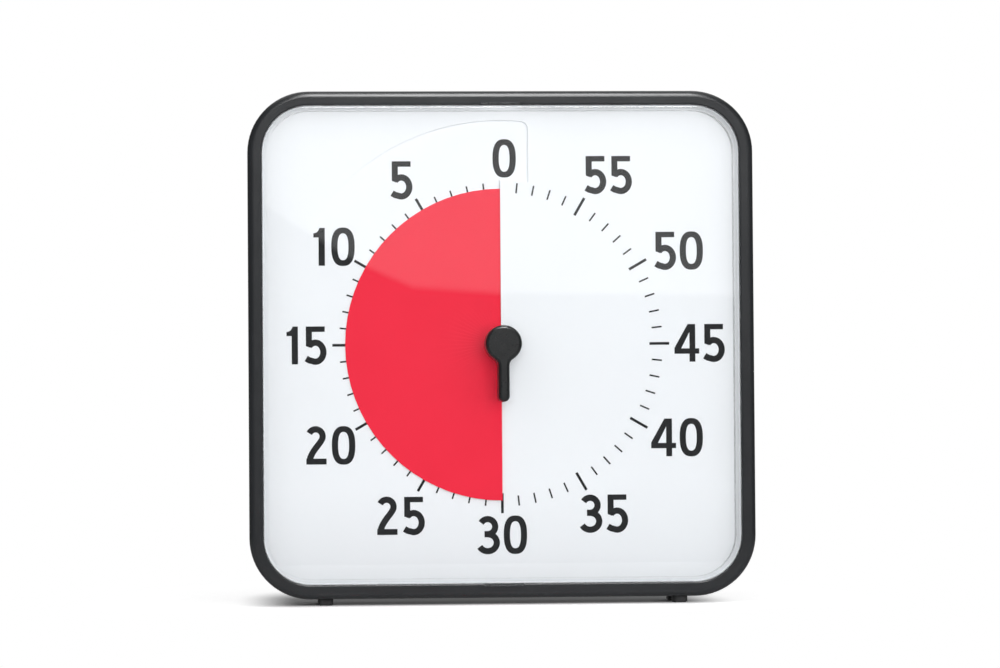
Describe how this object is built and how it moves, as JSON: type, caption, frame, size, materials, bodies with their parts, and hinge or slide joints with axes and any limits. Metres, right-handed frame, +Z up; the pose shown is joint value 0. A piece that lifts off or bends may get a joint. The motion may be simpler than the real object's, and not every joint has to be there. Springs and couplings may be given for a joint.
{
  "type": "visual countdown timer",
  "caption": "Square visual countdown timer: a dark frame with a clear window, a slotted white dial, a red disk that winds out to show the time left, and a black pointer knob.",
  "frame": {"origin": "on the table under the middle of the timer's bounding box", "axes": "+X to the right seen from the front, +Y from the dial to the back, +Z up; the dial faces -Y"},
  "size_m": [0.19, 0.045, 0.1924],
  "materials": {
    "housing_plastic": "fine satin, dark grey",
    "lens_acrylic": "clear and polished",
    "dial_plastic": "smooth satin white",
    "dial_print": "matt black print",
    "disk_plastic": "smooth red sheet",
    "hub_plastic": "natural white",
    "knob_plastic": "polished black with a slight sheen",
    "spindle_steel": "turned steel",
    "bush_brass": "turned brass",
    "washer_rubber": "matt",
    "chassis_plastic": "plain moulded",
    "screw_steel": "zinc plated",
    "foot_rubber": "matt",
    "movement_plastic": "plain moulded",
    "gear_acetal": "natural acetal",
    "clutch_steel": "bright spring steel",
    "magnet_ferrite": "sintered",
    "stator_iron": "stamped sheet",
    "bobbin_nylon": "green nylon",
    "coil_copper": "enamelled copper wire",
    "board_laminate": "green solder resist",
    "crystal_can": "drawn can",
    "chip_epoxy": "moulded epoxy",
    "leaf_bronze": "bright leaf",
    "battery_sleeve": "plain printed sleeve",
    "contact_nickel": "nickel plated",
    "buzzer_plastic": "plain moulded",
    "disc_brass": "rolled sheet",
    "volume_plastic": "satin black",
    "pot_plastic": "blue moulded",
    "lead_red": "PVC sleeve",
    "lead_black": "PVC sleeve",
    "lead_yellow": "PVC sleeve",
    "lead_grey": "PVC sleeve"
  },
  "bodies": {
    "case": {"front_housing": "housing_plastic", "rear_cover": "housing_plastic", "clear_lens": "lens_acrylic", "dial_plate": "dial_plastic", "dial_markings": "dial_print", "threaded_bush": "bush_brass", "bush_nut": "bush_brass", "rubber_washer": "washer_rubber", "chassis_plate": "chassis_plastic", "case_screws": "screw_steel", "front_feet": "foot_rubber", "rear_feet": "foot_rubber", "movement_front_case": "movement_plastic", "movement_rear_case": "movement_plastic", "stator": "stator_iron", "coil_bobbin": "bobbin_nylon", "coil_winding": "coil_copper", "circuit_board": "board_laminate", "quartz_crystal": "crystal_can", "control_chip": "chip_epoxy", "contact_leaf": "leaf_bronze", "battery": "battery_sleeve", "battery_spring": "contact_nickel", "battery_contacts": "contact_nickel", "buzzer_case": "buzzer_plastic", "buzzer_disc": "disc_brass", "volume_pot": "pot_plastic", "alarm_board": "board_laminate", "alarm_chip": "chip_epoxy", "board_screws": "screw_steel", "red_battery_lead": "lead_red", "black_battery_lead": "lead_black", "buzzer_leads": "lead_yellow", "movement_leads": "lead_grey"},
    "drive": {"pointer_knob": "knob_plastic", "spindle": "spindle_steel", "center_wheel": "gear_acetal", "clutch_spring": "clutch_steel", "alarm_cam": "gear_acetal"},
    "disk": {"red_disk": "disk_plastic", "disk_hub": "hub_plastic"},
    "intermediate": {"intermediate_wheel": "gear_acetal"},
    "rotor": {"rotor_pinion": "gear_acetal", "rotor_magnet": "magnet_ferrite"},
    "volume": {"volume_dial": "volume_plastic"},
    "door": {"battery_door": "housing_plastic"}
  },
  "joints": [
    {"name": "knob_turn", "type": "hinge", "parent": "case", "child": "drive", "pos_m": [0, 0, 0.0974], "axis": [0, -1, 0], "range_deg": [-180, 180]},
    {"name": "disk_advance", "type": "slide", "parent": "drive", "child": "disk", "axis": [0, -1, 0], "range_m": [-0.0025, 0.0025]},
    {"name": "intermediate_turn", "type": "hinge", "parent": "case", "child": "intermediate", "pos_m": [0, 0, 0.083], "axis": [0, -1, 0], "range_deg": [-1440, 1440]},
    {"name": "rotor_turn", "type": "hinge", "parent": "case", "child": "rotor", "pos_m": [0.0119, 0, 0.083], "axis": [0, -1, 0], "range_deg": [-10800, 10800]},
    {"name": "volume_turn", "type": "hinge", "parent": "case", "child": "volume", "pos_m": [-0.058, 0, 0.0974], "axis": [0, 1, 0], "range_deg": [-135, 135]},
    {"name": "battery_door_open", "type": "hinge", "parent": "case", "child": "door", "pos_m": [0, 0.0215, 0.0374], "axis": [-1, 0, 0], "range_deg": [0, 80]}
  ],
  "couplings": [
    {"joint": "disk_advance", "follows": "knob_turn", "m_per_rad": 0.00079577},
    {"joint": "intermediate_turn", "follows": "knob_turn", "ratio": -8},
    {"joint": "rotor_turn", "follows": "knob_turn", "ratio": 60}
  ]
}
